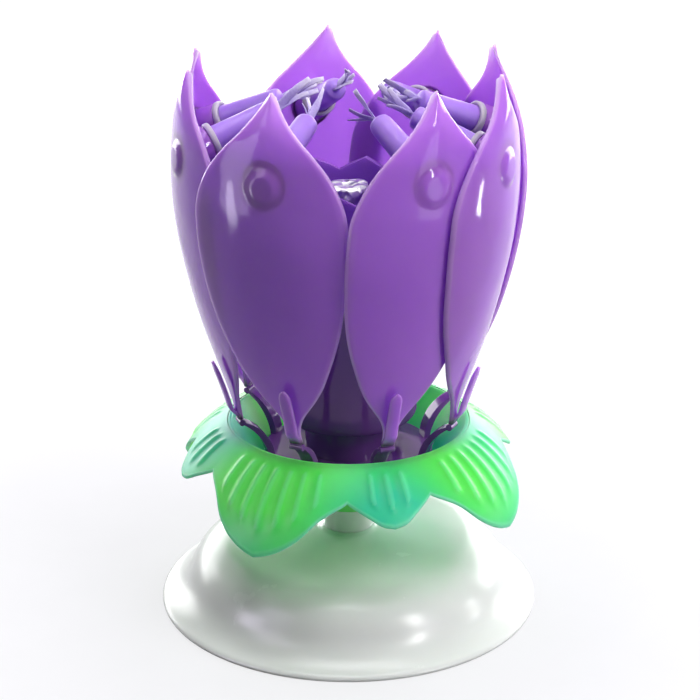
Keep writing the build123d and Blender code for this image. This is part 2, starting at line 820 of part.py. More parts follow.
write("leaf_cup", leaf_cup())
write("petal_ring", petal_ring())
write("hub_housing", hub_housing())
write("idler_pin", idler_pin())
write("motor_deck", motor_deck())
write("motor_can", motor_can())
write("motor_cap", motor_cap())
write("button_cell_1", cell(0))
write("button_cell_2", cell(1))
write("contact_minus", contact(deck_top_z, 1, contact_reach))
write("contact_plus", contact(cells_top_z, -1, contact_width))
write("circuit_board", circuit_board())
write("melody_chip", melody_chip())
write("sounder_disc", sounder_disc())
write("crown", crown())
write("fountain_tube", fountain_tube())
write("fountain_charge", fountain_charge())
write("foil_wrap", foil_wrap())

write("idler_gear", idler_gear())
write("motor_pinion", motor_pinion())
write("motor_shaft", motor_shaft())

for index in range(petal_count):
    azimuth = petal_azimuth(index)
    write(f"petal_{index + 1}", at_azimuth(petal(index), azimuth))
    write(f"candle_{index + 1}", at_azimuth(candle(index), azimuth))
    write(f"collar_{index + 1}", at_azimuth(collar(index), azimuth))
    write(f"wick_{index + 1}", at_azimuth(wick(index), azimuth))
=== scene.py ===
import math
import random

import bpy
import numpy as np
from mathutils import Matrix, Vector, noise


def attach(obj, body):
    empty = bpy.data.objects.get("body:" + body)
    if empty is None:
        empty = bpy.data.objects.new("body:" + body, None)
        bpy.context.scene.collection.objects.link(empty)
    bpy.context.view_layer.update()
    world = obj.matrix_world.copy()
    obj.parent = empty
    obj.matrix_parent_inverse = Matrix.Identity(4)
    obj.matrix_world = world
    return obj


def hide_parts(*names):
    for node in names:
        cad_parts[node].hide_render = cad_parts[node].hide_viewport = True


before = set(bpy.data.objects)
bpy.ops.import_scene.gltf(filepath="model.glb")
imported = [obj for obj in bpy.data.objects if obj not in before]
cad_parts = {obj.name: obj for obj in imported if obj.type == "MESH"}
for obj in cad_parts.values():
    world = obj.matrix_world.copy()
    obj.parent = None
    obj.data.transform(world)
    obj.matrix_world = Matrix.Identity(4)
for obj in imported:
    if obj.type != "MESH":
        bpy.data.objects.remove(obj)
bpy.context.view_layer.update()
MM = 0.001


# The view
# A long lens looks down at the bud from about 34 cm away and 18 cm up, with
# the spin axis a little left of the picture's middle.
photo_side_px = 700
focal_px = 2036
axis_px = 348.5
view_distance = 344.5
view_height = 178.6
view_dip = 20.7
view_data = bpy.data.cameras.new("photo_view")
view_data.sensor_width = 36
view_data.lens = focal_px / photo_side_px * view_data.sensor_width
view_data.shift_x = (photo_side_px / 2 - axis_px) / photo_side_px
view_data.clip_start = 0.01
view = bpy.data.objects.new("photo_view", view_data)
view.location = (0, -view_distance * MM, view_height * MM)
view.rotation_euler = (math.radians(90 - view_dip), 0, 0)
bpy.context.collection.objects.link(view)
bpy.context.scene.camera = view
bpy.context.scene.view_settings.view_transform = "Standard"


# The table and the light
# A plain pale table under soft studio light, with small cards near the bud
# for its petals to mirror. The surround looks white but adds little light.
def linear(colour):
    """Turns an sRGB hex colour such as "8A52BE" to a linear colour."""
    channels = [int(colour[place:place + 2], 16) / 255 for place in (0, 2, 4)]
    return [c / 12.92 if c <= 0.04045 else ((c + 0.055) / 1.055) ** 2.4 for c in channels] + [1.0]


def add(tree, kind, inputs=None, **settings):
    """Adds a node with its settings. Each input is a value or a socket to link."""
    made = tree.nodes.new("ShaderNode" + kind)
    for name, value in settings.items():
        setattr(made, name, value)
    for name, value in (inputs or {}).items():
        if isinstance(value, bpy.types.NodeSocket):
            tree.links.new(value, made.inputs[name])
        else:
            made.inputs[name].default_value = value
    return made


def new_material(name):
    """Node material with nothing in it yet but its output."""
    material = bpy.data.materials.new(name)
    material.use_nodes = True
    material.node_tree.nodes.clear()
    return material, material.node_tree, material.node_tree.nodes.new("ShaderNodeOutputMaterial")


def seen_directly(tree):
    """Socket that is 1 for rays of the eye, of mirrors and of clear matter, and 0 for the rest."""
    path = add(tree, "LightPath")
    seen = add(tree, "Math", {0: path.outputs["Is Camera Ray"], 1: path.outputs["Is Glossy Ray"]},
               operation="MAXIMUM")
    seen = add(tree, "Math", {0: seen.outputs[0], 1: path.outputs["Is Transmission Ray"]},
               operation="MAXIMUM")
    return seen.outputs[0]


def pale_surround():
    """World that lights at a plain level and looks white to the eye."""
    world = bpy.data.worlds.new("pale_surround")
    world.use_nodes = True
    tree = world.node_tree
    tree.nodes.clear()
    lamp = add(tree, "Background", {"Color": linear("F4F3F8"), "Strength": 0.10})
    shown = add(tree, "Background", {"Color": linear("FFFFFF"), "Strength": 1.0})
    both = add(tree, "MixShader", {0: seen_directly(tree), 1: lamp.outputs[0], 2: shown.outputs[0]})
    out = tree.nodes.new("ShaderNodeOutputWorld")
    tree.links.new(both.outputs[0], out.inputs["Surface"])
    bpy.context.scene.world = world


def table_paint():
    """Matt pale paint with a 2 mm roller grain. It shows nearly white and keeps the shadow."""
    material, tree, out = new_material("matt_pale_table_paint")
    grain = add(tree, "TexNoise", {"Scale": 1 / (2 * MM), "Detail": 3.0})
    colour = add(tree, "MixRGB", {0: grain.outputs["Fac"], 1: linear("7C7B81"), 2: linear("828187")})
    matt = add(tree, "BsdfDiffuse", {"Color": colour.outputs[0]})
    away = add(tree, "VectorMath", {0: add(tree, "TexCoord").outputs["Object"]}, operation="LENGTH")
    level = add(tree, "MapRange", {"Value": away.outputs["Value"], "From Min": 0.05, "From Max": 0.30,
                                   "To Min": 0.70, "To Max": 1.0})
    glow = add(tree, "Emission", {"Color": linear("FFFFFF"), "Strength": level.outputs[0]})
    extra = add(tree, "MixShader", {0: seen_directly(tree), 2: glow.outputs[0]})
    both = add(tree, "AddShader", {0: matt.outputs[0], 1: extra.outputs[0]})
    tree.links.new(both.outputs[0], out.inputs["Surface"])
    return material


def softbox(name, place, size, power, colour, seen="all"):
    """Soft rectangular light that faces the bud. A card is only mirrored, a fill never is."""
    data = bpy.data.lights.new(name, "AREA")
    data.shape = "RECTANGLE"
    data.size, data.size_y = size
    data.energy = power
    data.color = linear(colour)[:3]
    lamp = bpy.data.objects.new(name, data)
    lamp.location = place
    aim = Vector((0, 0, bud_middle * MM)) - Vector(place)
    lamp.rotation_euler = aim.to_track_quat("-Z", "Y").to_euler()
    lamp.visible_diffuse = seen != "card"
    lamp.visible_glossy = seen != "fill"
    bpy.context.collection.objects.link(lamp)


bud_middle = 60
pale_surround()
softbox("window_right", (0.34, -0.30, 0.24), (0.045, 0.17), 0.80, "FFFFFF", seen="card")
softbox("window_left", (-0.46, -0.30, 0.30), (0.26, 0.34), 1.15, "F0E8FA", seen="card")
softbox("key_right", (0.33, -0.28, 0.50), (0.30, 0.30), 1.45, "FFFFFF", seen="fill")
softbox("side_right", (0.46, -0.12, 0.16), (0.25, 0.25), 0.75, "FFFFFF", seen="fill")
softbox("low_strip_right", (0.20, 0.0, 0.035), (0.008, 0.035), 0.030, "FFFFFF", seen="card")
softbox("low_strip_left", (-0.20, -0.075, 0.030), (0.022, 0.05), 0.034, "F6ECFF", seen="card")
softbox("low_card_left", (-0.24, -0.10, 0.050), (0.10, 0.09), 0.13, "F0E4FF", seen="card")
softbox("low_card_right", (0.22, -0.15, 0.045), (0.07, 0.08), 0.060, "F4ECFF", seen="card")
softbox("back_panel_left", (-0.26, 0.38, 0.12), (0.44, 0.20), 1.8, "FFFFFF")
softbox("back_panel_right", (0.30, 0.36, 0.12), (0.44, 0.20), 2.2, "FFFFFF")
softbox("overhead", (0.0, -0.02, 0.70), (0.45, 0.45), 3.1, "FFFFFF")

table_reach = 3.0
table_gap = 0.02
corners = [(x * table_reach, y * table_reach, 0) for x, y in ((-1, -1), (1, -1), (1, 1), (-1, 1))]
table_mesh = bpy.data.meshes.new("table_top")
table_mesh.from_pydata(corners, [], [(0, 1, 2, 3)])
table_top = bpy.data.objects.new("table_top", table_mesh)
table_top.data.materials.append(table_paint())
table_top.location.z = -table_gap * MM
bpy.context.collection.objects.link(table_top)


# Stand
# One injection-moulded dome of milky polypropylene with a flared brim, ribs
# below and a socket for the post. The post is pressed in.
def milky_polypropylene():
    """Moulded PP: light sinks in a little, so its shadows stay pale and soft.

    The melt is cloudy over about 25 mm, finger marks are 6 mm wide and sink waves 9 mm long.
    """
    material, tree, out = new_material("milky_polypropylene_moulded")
    place = add(tree, "TexCoord").outputs["Object"]
    cloud = add(tree, "TexNoise", {"Vector": place, "Scale": 1 / (25 * MM), "Detail": 2.0})
    colour = add(tree, "MixRGB", {0: cloud.outputs["Fac"], 1: linear("E4E7E3"), 2: linear("EEEFED")})
    handled = add(tree, "TexNoise", {"Vector": place, "Scale": 1 / (6 * MM), "Detail": 5.0})
    gloss = add(tree, "MapRange", {"Value": handled.outputs["Fac"], "To Min": 0.18, "To Max": 0.32})
    ripple = add(tree, "TexNoise", {"Vector": place, "Scale": 1 / (9 * MM), "Detail": 1.0})
    bump = add(tree, "Bump", {"Height": ripple.outputs["Fac"], "Strength": 0.12, "Distance": 0.3 * MM})
    plastic = add(tree, "BsdfPrincipled", {
        "Base Color": colour.outputs[0], "Roughness": gloss.outputs[0], "Normal": bump.outputs[0],
        "IOR": 1.49, "Subsurface Weight": 0.5, "Subsurface Radius": (1.0, 0.95, 0.9),
        "Subsurface Scale": 2.5 * MM,
    })
    tree.links.new(plastic.outputs[0], out.inputs["Surface"])
    return material


def spun(profile, steps=96):
    """Rings of points (radius, height) turned about Z, for a lathed shape."""
    turn = np.linspace(0, 2 * math.pi, steps, endpoint=False)
    return [np.stack([radius * np.cos(turn), radius * np.sin(turn), np.full(steps, float(height))], 1)
            for radius, height in profile]


def skin(rings, cap_start=False, cap_end=False):
    """Quads between rings of equally many points: (points, faces)."""
    count = len(rings[0])
    faces = []
    for row in range(len(rings) - 1):
        for place in range(count):
            after = (place + 1) % count
            faces.append((row * count + place, row * count + after,
                          (row + 1) * count + after, (row + 1) * count + place))
    if cap_start:
        faces.append(tuple(reversed(range(count))))
    if cap_end:
        faces.append(tuple(range((len(rings) - 1) * count, len(rings) * count)))
    return np.concatenate(rings), faces


def moved(shell, matrix):
    """Shell of (points, faces) under a matrix."""
    points, faces = shell
    table = np.array(matrix)
    return points @ table[:3, :3].T + table[:3, 3], faces


def piece(name, shells, material, body, nodes, painted_rim_light_and_pale_ends=None):
    """Makes one object from shells of (points in mm, faces) and fits it to the frame."""
    points, faces, start = [], [], 0
    for shell_points, shell_faces in shells:
        points.append(shell_points)
        faces += [tuple(corner + start for corner in face) for face in shell_faces]
        start += len(shell_points)
    mesh = bpy.data.meshes.new(name)
    mesh.from_pydata((np.concatenate(points) * MM).tolist(), [], faces)
    # The rim attribute holds the painted rim highlights of petals and leaves, and the pale ends of wicks.
    if painted_rim_light_and_pale_ends is not None:
        rim = mesh.attributes.new("rim", "FLOAT", "POINT")
        rim.data.foreach_set("value", np.asarray(painted_rim_light_and_pale_ends, dtype=np.float32))
    mesh.polygons.foreach_set("use_smooth", [True] * len(mesh.polygons))
    mesh.update()
    made = bpy.data.objects.new(name, mesh)
    made.data.materials.append(material)
    bpy.context.collection.objects.link(made)
    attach(made, body)
    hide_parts(*nodes)
    return made


stand_wall = 1.4
bore = 3.05
socket_radius = 5.25
socket_low = 6.0
rib_count = 6
rib_low = 2.5
rib_half = 0.6
rib_sink = 0.2
line_step = 0.3
bend_softness = 0.85
brim_round = [(33.6, 0.0), (34.7, 0.0), (34.93, 0.12), (35.0, 0.38), (34.9, 0.66)]
seat_round = [(5.1, 13.7), (4.9, 13.98)]
# Flare, shoulder and plateau: the start, the pull and the end of each bend
dome_bends = [((35.0, 0.8), (31.46, 1.92), (29.7, 5.2)), ((29.7, 5.2), (27.97, 10.58), (22.5, 12.0)),
              ((22.5, 12.0), (14.0, 12.8), (5.4, 13.55))]


def dome_lines():
    """Outer line of the dome from the brim up to the post, with soft bends, and its inner line."""
    line = []
    for start, pull, end in dome_bends:
        for t in np.linspace(0, 1, 60, endpoint=False):
            weights = ((1 - t)**2, 2 * t * (1 - t), t**2)
            line.append([weights[0] * a + weights[1] * b + weights[2] * c
                         for a, b, c in zip(start, pull, end)])
    line = np.array(line)
    along = np.concatenate([[0], np.cumsum(np.linalg.norm(np.diff(line, axis=0), axis=1))])
    even = np.arange(0, along[-1], line_step)
    line = np.stack([np.interp(even, along, line[:, side]) for side in (0, 1)], 1)
    weight = np.exp(-(np.arange(-15, 16) * line_step / bend_softness)**2 / 2)
    weight /= weight.sum()
    padded = np.concatenate([2 * line[0] - line[15:0:-1], line, 2 * line[-1] - line[-2:-17:-1]])
    soft = np.stack([np.convolve(padded[:, side], weight, "valid") for side in (0, 1)], 1)
    slope = np.gradient(soft, axis=0)
    slope /= np.linalg.norm(slope, axis=1)[:, None]
    inner = soft + stand_wall * np.stack([-slope[:, 1], slope[:, 0]], 1)
    inner = inner[(inner[:, 1] > 0.1) & (inner[:, 0] > socket_radius)]
    return soft[2:], inner


def stand_dome():
    """Shell of the dome, its socket and the six ribs below it."""
    outer, inner = dome_lines()
    profile = brim_round + [tuple(point) for point in outer] + seat_round
    profile += [(bore, seat_round[-1][1]), (bore, socket_low), (socket_radius - 0.2, socket_low),
                (socket_radius, socket_low + 0.2), (socket_radius, inner[-1][1])]
    profile += [tuple(point) for point in inner[::-1]] + [brim_round[0]]
    shells = [skin([ring[::-1] for ring in spun(profile, 144)])]
    top = [point for point in inner[::-1] if point[1] > rib_low]
    rim = [(bore + 0.1, rib_low), (bore + 0.1, top[0][1] + rib_sink)]
    rim += [(r, z + rib_sink) for r, z in top] + [(top[-1][0] + 0.1, rib_low)]
    rib = skin([np.array([(r, side, z) for r, z in rim]) for side in (-rib_half, rib_half)], True, True)
    for index in range(rib_count):
        shells.append(moved(rib, Matrix.Rotation(math.radians(index * 360 / rib_count), 4, "Z")))
    return shells


def dress(nodes, material):
    """Gives CAD nodes whose shape is right the finish of the real piece."""
    for name in nodes:
        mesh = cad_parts[name].data
        mesh.materials.clear()
        mesh.materials.append(material)


white_plastic = milky_polypropylene()
piece("stand_dome_moulding", stand_dome(), white_plastic, "stand", ["stand_shell"])
dress(["post"], white_plastic)


# Leaf cup
# One moulding of thin green polyethylene: a bowl on a bearing column, and a
# skirt of four broad and four narrow leaves with ribs fanned over them.
rim_radius = 21.3
rim_outer = 22.2
rim_z = 35.4
cup_z = 19.7
ring_z = 28.5
leaf_thickness = 1.0
leaf_spread = 10.8
leaf_drop = 14.2
leaf_arch = 0.16 * leaf_drop
notch_drop = 4.2
small_leaf_drop = 8.2
big_leaf_angle = 59.0
small_leaf_angle = 31.0
first_notch_azimuth = -0.5
leaf_rib_pitch = 6.2
leaf_rib_width = 0.24
leaf_rib_height = 0.34
big_edge = [(0.0, 0.0), (0.33, 0.29), (0.53, 0.6), (0.74, 0.84), (0.91, 0.96), (1.0, 1.0)]
small_edge = [(0.0, 0.0), (0.48, 0.55), (0.74, 0.87), (1.0, 1.0)]


def smooth_between(x, points):
    """Smooth curve through the points (position, value), at the places x."""
    xs, ys = np.array(points, dtype=float).T
    slopes = np.gradient(ys, xs)
    x = np.clip(np.asarray(x, dtype=float), xs[0], xs[-1])
    step = np.clip(np.searchsorted(xs, x, side="right") - 1, 0, len(xs) - 2)
    width = xs[step + 1] - xs[step]
    t = (x - xs[step]) / width
    return ((2 * t**3 - 3 * t**2 + 1) * ys[step] + (t**3 - 2 * t**2 + t) * width * slopes[step]
            + (3 * t**2 - 2 * t**3) * ys[step + 1] + (t**3 - t**2) * width * slopes[step + 1])


def ramp(x, low, high):
    """Goes smoothly from 0 at low to 1 at high."""
    t = np.clip((np.asarray(x, dtype=float) - low) / (high - low), 0, 1)
    return t * t * (3 - 2 * t)


def green_polyethylene():
    """Moulded PE: thin leaves glow where light comes through. Rims and rib crests marked by the rim attribute
    are painted pale, a painted highlight.

    The green shifts over about 26 mm, in patches coloured so the front is painted teal shade and the sides
    painted yellow-green backlight. The mould's 0.1 mm grain is drawn 0.8 mm wide, so that it shows.
    """
    material, tree, out = new_material("green_polyethylene_moulded")
    place = add(tree, "TexCoord").outputs["Object"]
    cloud = add(tree, "TexNoise", {"Vector": place, "Scale": 1 / (26 * MM), "Detail": 0.0})
    # Partly painted light: random patches, coloured so the front falls teal as painted shade and the sides
    # yellow-green as painted backlight.
    painted_light_patch = add(tree, "MapRange", {"Value": cloud.outputs["Fac"], "From Min": 0.38, "From Max": 0.60})
    body = add(tree, "MixRGB", {0: painted_light_patch.outputs[0], 1: linear("58F256"), 2: linear("25CFA4")})
    # Painted highlight: the rim attribute mixes in pale green at the marked rims and rib crests.
    rim = add(tree, "Attribute", attribute_name="rim")
    colour = add(tree, "MixRGB", {0: rim.outputs["Fac"], 1: body.outputs[0], 2: linear("86F0BE")})
    grain = add(tree, "TexNoise", {"Vector": place, "Scale": 1 / (0.8 * MM), "Detail": 2.0})
    bump = add(tree, "Bump", {"Height": grain.outputs["Fac"], "Strength": 0.08, "Distance": 0.1 * MM})
    plastic = add(tree, "BsdfPrincipled", {
        "Base Color": colour.outputs[0], "Roughness": 0.42, "Normal": bump.outputs[0], "IOR": 1.51,
        "Specular IOR Level": 0.35, "Subsurface Weight": 0.9, "Subsurface Radius": (0.5, 1.0, 0.6),
        "Subsurface Scale": 2.6 * MM,
    })
    tree.links.new(plastic.outputs[0], out.inputs["Surface"])
    return material


def leaf_line():
    """Centre and radius of the leaves' arched section, with its two end angles."""
    start = np.array([rim_outer, rim_z])
    end = np.array([rim_outer + leaf_spread, rim_z - leaf_drop])
    along = end - start
    length = np.linalg.norm(along)
    outward = np.array([-along[1], along[0]]) / length
    radius = (length**2 / 4 + leaf_arch**2) / (2 * leaf_arch)
    centre = (start + end) / 2 - outward * (radius - leaf_arch)
    angles = [math.atan2(*(point - centre)[::-1]) for point in (start, end)]
    return centre, radius, angles


def leaf_skirt():
    """Eight leaves in one sheet with raised ribs. Also marks the rim and the rib crests for a painted pale
    highlight.
    """
    centre, radius, (first, last) = leaf_line()
    rows = np.linspace(0, 1, 34)
    columns = 720
    azimuths = first_notch_azimuth - big_leaf_angle + np.arange(columns) * 360 / columns
    past_notch = (azimuths - azimuths[0]) % (big_leaf_angle + small_leaf_angle)
    in_big = past_notch < big_leaf_angle
    middle = np.where(in_big, big_leaf_angle / 2, big_leaf_angle + small_leaf_angle / 2)
    half = np.where(in_big, big_leaf_angle / 2, small_leaf_angle / 2)
    off = past_notch - middle
    from_notch = 1 - np.abs(off) / half
    drop_share = np.where(in_big, smooth_between(from_notch, big_edge),
                          smooth_between(from_notch, small_edge))
    tip_drop = np.where(in_big, leaf_drop, small_leaf_drop)
    drop = notch_drop + (tip_drop - notch_drop) * drop_share
    ends = [first + (last - first) * t for t in np.linspace(0, 1, 200)]
    heights = rim_z - np.array([centre[1] + radius * math.sin(angle) for angle in ends])
    reach = np.interp(drop, heights, np.linspace(0, 1, 200))
    rib_off = (off / leaf_rib_pitch + 0.5) % 1 - 0.5
    has_rib = np.abs(np.round(off / leaf_rib_pitch)) <= np.where(in_big, 3, 1)
    across = np.where(has_rib, np.exp(-(rib_off / leaf_rib_width) ** 2), 0)
    outer, inner, near = [], [], []
    turn = np.radians(azimuths)
    for share in rows:
        t = reach * share
        angle = first + (last - first) * t
        rise = leaf_rib_height * across * ramp(t, 0.07, 0.16) * (1 - ramp(share, 0.66, 0.84))
        cupped = 0.5 * np.cos(np.pi * off / (2 * half)) * ramp(t, 0.1, 0.7) - 0.25 * ramp(t, 0.1, 0.5)
        thick = leaf_thickness * (1 - 0.35 * ramp(share, 0.8, 1.0))
        for sheet, depth in ((outer, rise), (inner, -thick)):
            r = centre[0] + (radius + depth + cupped) * np.cos(angle)
            z = centre[1] + (radius + depth + cupped) * np.sin(angle)
            sheet.append(np.stack([r * np.sin(turn), -r * np.cos(turn), z], 1))
        # Painted highlight: pale towards the leaves' edge and on the rib crests.
        near.append(0.75 * ramp(share, 0.93, 1.0) * np.ones(columns) + 0.25 * across * (rise > 0.2))
    edge = (outer[-1] + inner[-1]) / 2
    outwards = outer[-1] - outer[-2]
    outwards /= np.linalg.norm(outwards, axis=1)[:, None]
    edge += outwards * leaf_thickness * 0.25
    rings = outer + [edge] + inner[::-1]
    # Painted highlight: the edge itself is marked pale.
    painted_rim_light_and_pale_ends = np.concatenate(near + [np.full(columns, 0.9)] + near[::-1])
    return skin([ring[::-1] for ring in rings]), painted_rim_light_and_pale_ends.reshape(len(rings), columns)[:, ::-1].ravel()


def cup_bowl():
    """Bowl from the rim down to the foot, and the bearing column inside it."""
    profile = [(rim_outer - 0.1, rim_z - 1.6), (rim_outer + 0.05, rim_z - 0.8), (rim_outer, rim_z - 0.25),
               (rim_outer - 0.25, rim_z), (rim_radius + 0.2, rim_z), (rim_radius, rim_z - 0.25),
               (16.6, ring_z), (15.6, ring_z - 1.1), (7.0, cup_z + 1.5), (6.5, cup_z + 1.6),
               (6.5, ring_z - 0.05), (2.26, ring_z - 0.05), (2.26, cup_z + 0.05), (7.6, cup_z + 0.02),
               (8.3, cup_z + 0.3), (17.4, ring_z - 1.6), (18.0, ring_z - 1.0), (rim_outer - 1.0, rim_z - 3.0),
               (rim_outer - 0.1, rim_z - 1.6)]
    return skin([ring[::-1] for ring in spun(profile)])


green_plastic = green_polyethylene()
skirt, skirt_painted_highlight = leaf_skirt()
bowl = cup_bowl()
piece("leaf_cup_moulding", [skirt, bowl], green_plastic, "flower", ["leaf_cup"],
      np.concatenate([skirt_painted_highlight, np.zeros(len(bowl[0]))]))


# Petal ring, hub housing and crown
# Three mouldings of violet polystyrene. Their violet is painted darker than the
# petals' as painted shade, for the shade of the petals they lie in; they are
# thick, so they also pass less light.
def violet_polystyrene(name, deep, bright, glow):
    """Glossy translucent PS. Thin walls pass light, and glow sets how much. Points marked by the rim
    attribute are painted pale lilac, a painted highlight on the rims.

    The melt is cloudy over 18 mm, finger marks are 7 mm wide and flow waves 10 mm long.
    """
    material, tree, out = new_material(name)
    place = add(tree, "TexCoord").outputs["Object"]
    cloud = add(tree, "TexNoise", {"Vector": place, "Scale": 1 / (18 * MM), "Detail": 3.0})
    body = add(tree, "MixRGB", {0: cloud.outputs["Fac"], 1: linear(deep), 2: linear(bright)})
    # Painted highlight: the rim attribute mixes in pale lilac at the marked rims.
    rim = add(tree, "Attribute", attribute_name="rim")
    colour = add(tree, "MixRGB", {0: rim.outputs["Fac"], 1: body.outputs[0], 2: linear("CDA0F4")})
    handled = add(tree, "TexNoise", {"Vector": place, "Scale": 1 / (7 * MM), "Detail": 5.0})
    gloss = add(tree, "MapRange", {"Value": handled.outputs["Fac"], "To Min": 0.04, "To Max": 0.14})
    flow = add(tree, "TexNoise", {"Vector": place, "Scale": 1 / (10 * MM), "Detail": 1.0})
    bump = add(tree, "Bump", {"Height": flow.outputs["Fac"], "Strength": 0.35, "Distance": 0.9 * MM})
    plastic = add(tree, "BsdfPrincipled", {
        "Base Color": colour.outputs[0], "Roughness": gloss.outputs[0], "Normal": bump.outputs[0],
        "IOR": 1.55, "Specular IOR Level": 0.24, "Subsurface Weight": glow,
        "Subsurface Radius": (1.0, 0.9, 1.0), "Subsurface Scale": 4.0 * MM,
    })
    tree.links.new(plastic.outputs[0], out.inputs["Surface"])
    return material


# Painted shade: the hub and petal ring are given a darker copy of the petals' violet.
hub_plastic_painted_shade = violet_polystyrene("violet_polystyrene_hub_painted_shade", "703E8E", "7E4A9E", 0.3)
dress(["hub_housing", "petal_ring"], hub_plastic_painted_shade)
# Painted shade: the crown is given a darker copy of the petals' violet.
dress(["crown"], violet_polystyrene("violet_polystyrene_crown_painted_shade", "8650BE", "9A62D2", 0.6))


# Drive and sound
# Hidden in the hub: a steel-cased motor, nylon gears on a steel pin, two
# steel button cells, brass contacts, a board with its chip, and the sounder.
def bare_metal(name, dark, light, roughness, grain_mm):
    """Drawn or stamped metal, with fine lines of slightly different shine.

    The real lines are about 0.02 mm apart. They are drawn coarser, so that they show.
    """
    material, tree, out = new_material(name)
    place = add(tree, "TexCoord").outputs["Object"]
    stretched = add(tree, "Mapping", {"Vector": place, "Scale": (1.0, 1.0, 0.08)})
    lines = add(tree, "TexNoise", {"Vector": stretched.outputs[0], "Scale": 1 / (grain_mm * MM),
                                   "Detail": 4.0})
    colour = add(tree, "MixRGB", {0: lines.outputs["Fac"], 1: linear(dark), 2: linear(light)})
    shine = add(tree, "MapRange", {"Value": lines.outputs["Fac"], "To Min": roughness - 0.08,
                                   "To Max": roughness + 0.08})
    bump = add(tree, "Bump", {"Height": lines.outputs["Fac"], "Strength": 0.15, "Distance": 0.05 * MM})
    metal = add(tree, "BsdfPrincipled", {"Base Color": colour.outputs[0], "Metallic": 1.0,
                                         "Roughness": shine.outputs[0], "Normal": bump.outputs[0]})
    tree.links.new(metal.outputs[0], out.inputs["Surface"])
    return material


def matt_moulding(name, dark, light, roughness, grain_mm):
    """Plain moulded or pressed matter with a dull surface. Its fine speckle is drawn coarser."""
    material, tree, out = new_material(name)
    place = add(tree, "TexCoord").outputs["Object"]
    speckle = add(tree, "TexNoise", {"Vector": place, "Scale": 1 / (grain_mm * MM), "Detail": 4.0})
    colour = add(tree, "MixRGB", {0: speckle.outputs["Fac"], 1: linear(dark), 2: linear(light)})
    bump = add(tree, "Bump", {"Height": speckle.outputs["Fac"], "Strength": 0.2, "Distance": 0.1 * MM})
    dull = add(tree, "BsdfPrincipled", {"Base Color": colour.outputs[0], "Roughness": roughness,
                                        "Normal": bump.outputs[0], "IOR": 1.5})
    tree.links.new(dull.outputs[0], out.inputs["Surface"])
    return material


dress(["retaining_clip", "idler_pin", "motor_can", "motor_shaft", "button_cell_1", "button_cell_2"],
      bare_metal("nickel_plated_steel", "A9ABAE", "C9CBCD", 0.28, 0.3))
dress(["contact_minus", "contact_plus", "sounder_disc"],
      bare_metal("rolled_brass", "B8923F", "D9B766", 0.3, 0.4))
dress(["sun_gear", "idler_gear", "motor_pinion", "motor_deck", "motor_cap"],
      matt_moulding("natural_nylon_moulded", "DCD9CC", "ECEADF", 0.45, 1.5))
dress(["circuit_board"], matt_moulding("green_glass_epoxy_board", "2C5A30", "3E7A42", 0.4, 0.8))
dress(["melody_chip"], matt_moulding("black_epoxy_blob", "0B0B0C", "19191B", 0.25, 1.0))


# Fountain
# A card tube with a pressed charge stands in the crown's socket. Aluminium
# foil is wrapped round it, crumpled and folded in over its mouth.
foil_low = 67.2
foil_high = 79.6
foil_radius = 4.1
crumple_size = 1.9
crumple_depth = 0.38
crumple_seed = 5


def crumpled_foil():
    """Household aluminium foil: bright facets of all angles, about 1.6 mm wide, with sharp creases."""
    material, tree, out = new_material("crumpled_aluminium_foil")
    place = add(tree, "TexCoord").outputs["Object"]
    facets = add(tree, "TexVoronoi", {"Vector": place, "Scale": 1 / (1.6 * MM), "Randomness": 1.0})
    shade = add(tree, "MixRGB", {0: facets.outputs["Distance"], 1: linear("FFFFFF"), 2: linear("DCD6E4")})
    creases = add(tree, "Bump", {"Height": facets.outputs["Distance"], "Strength": 0.9, "Distance": 0.5 * MM})
    metal = add(tree, "BsdfPrincipled", {"Base Color": shade.outputs[0], "Metallic": 1.0,
                                         "Roughness": 0.3, "Normal": creases.outputs[0]})
    tree.links.new(metal.outputs[0], out.inputs["Surface"])
    return material


def crumple(points, size, depth):
    """Pushes points in and out along their own radius, in flat patches with creases."""
    pushed = []
    for x, y, z in points:
        near = noise.voronoi(Vector((x, y, z)) / size)[0]
        swing = depth * (near[1] - near[0] - 0.35)
        wander = noise.noise_vector(Vector((x, y, z)) / (1.7 * size)) * depth * 0.7
        reach = math.hypot(x, y) or 1.0
        pushed.append((x * (1 + swing / reach) + wander.x, y * (1 + swing / reach) + wander.y, z + wander.z))
    return np.array(pushed)


wrap = [(foil_radius - 0.3, foil_low), (foil_radius, foil_low + 0.4)]
wrap += [(foil_radius - 0.35 * share, foil_low + 0.4 + (foil_high - 0.9 - foil_low) * share)
         for share in np.linspace(0.08, 1, 16)]
wrap += [(foil_radius - 0.55, foil_high - 0.1), (foil_radius - 1.2, foil_high),
         (foil_radius - 2.0, foil_high - 0.05), (1.3, foil_high - 0.15), (0.8, foil_high - 0.5),
         (0.3, foil_high - 0.55)]
foil_points, foil_faces = skin([ring[::-1] for ring in spun(wrap, 72)], cap_end=True)
noise.seed_set(crumple_seed)
foil_points = crumple(foil_points, crumple_size, crumple_depth)
piece("foil_wrap_crumpled", [(foil_points, foil_faces)], crumpled_foil(), "flower", ["foil_wrap"])
dress(["fountain_tube"], matt_moulding("grey_card_tube", "8F867A", "A89F92", 0.8, 0.6))
dress(["fountain_charge"], matt_moulding("pressed_sparkler_charge", "3A3836", "55524E", 0.9, 0.5))


# Petals
# Eight mouldings of violet polystyrene, each a blade with a pointed tip, a
# candle holder inside, a round boss behind it and a free spike at its neck.
first_petal_azimuth = -26.0
hinge_radius = 20.5
blade_z = 37.8
blade_height = 64.2
blade_foot_radius = 21.1
blade_swell = 9.5
blade_half_width = 14.0
blade_thickness = 0.9
blade_twist = 4.6
petal_leans = [-0.6, 5.0, -0.6, 1.7, -5.1, -6.2, 3.7, -1.0]
petal_bows = [-1.6, 1.3, -2.2, 0.0, 0.0, 0.0, 0.0, -2.1]
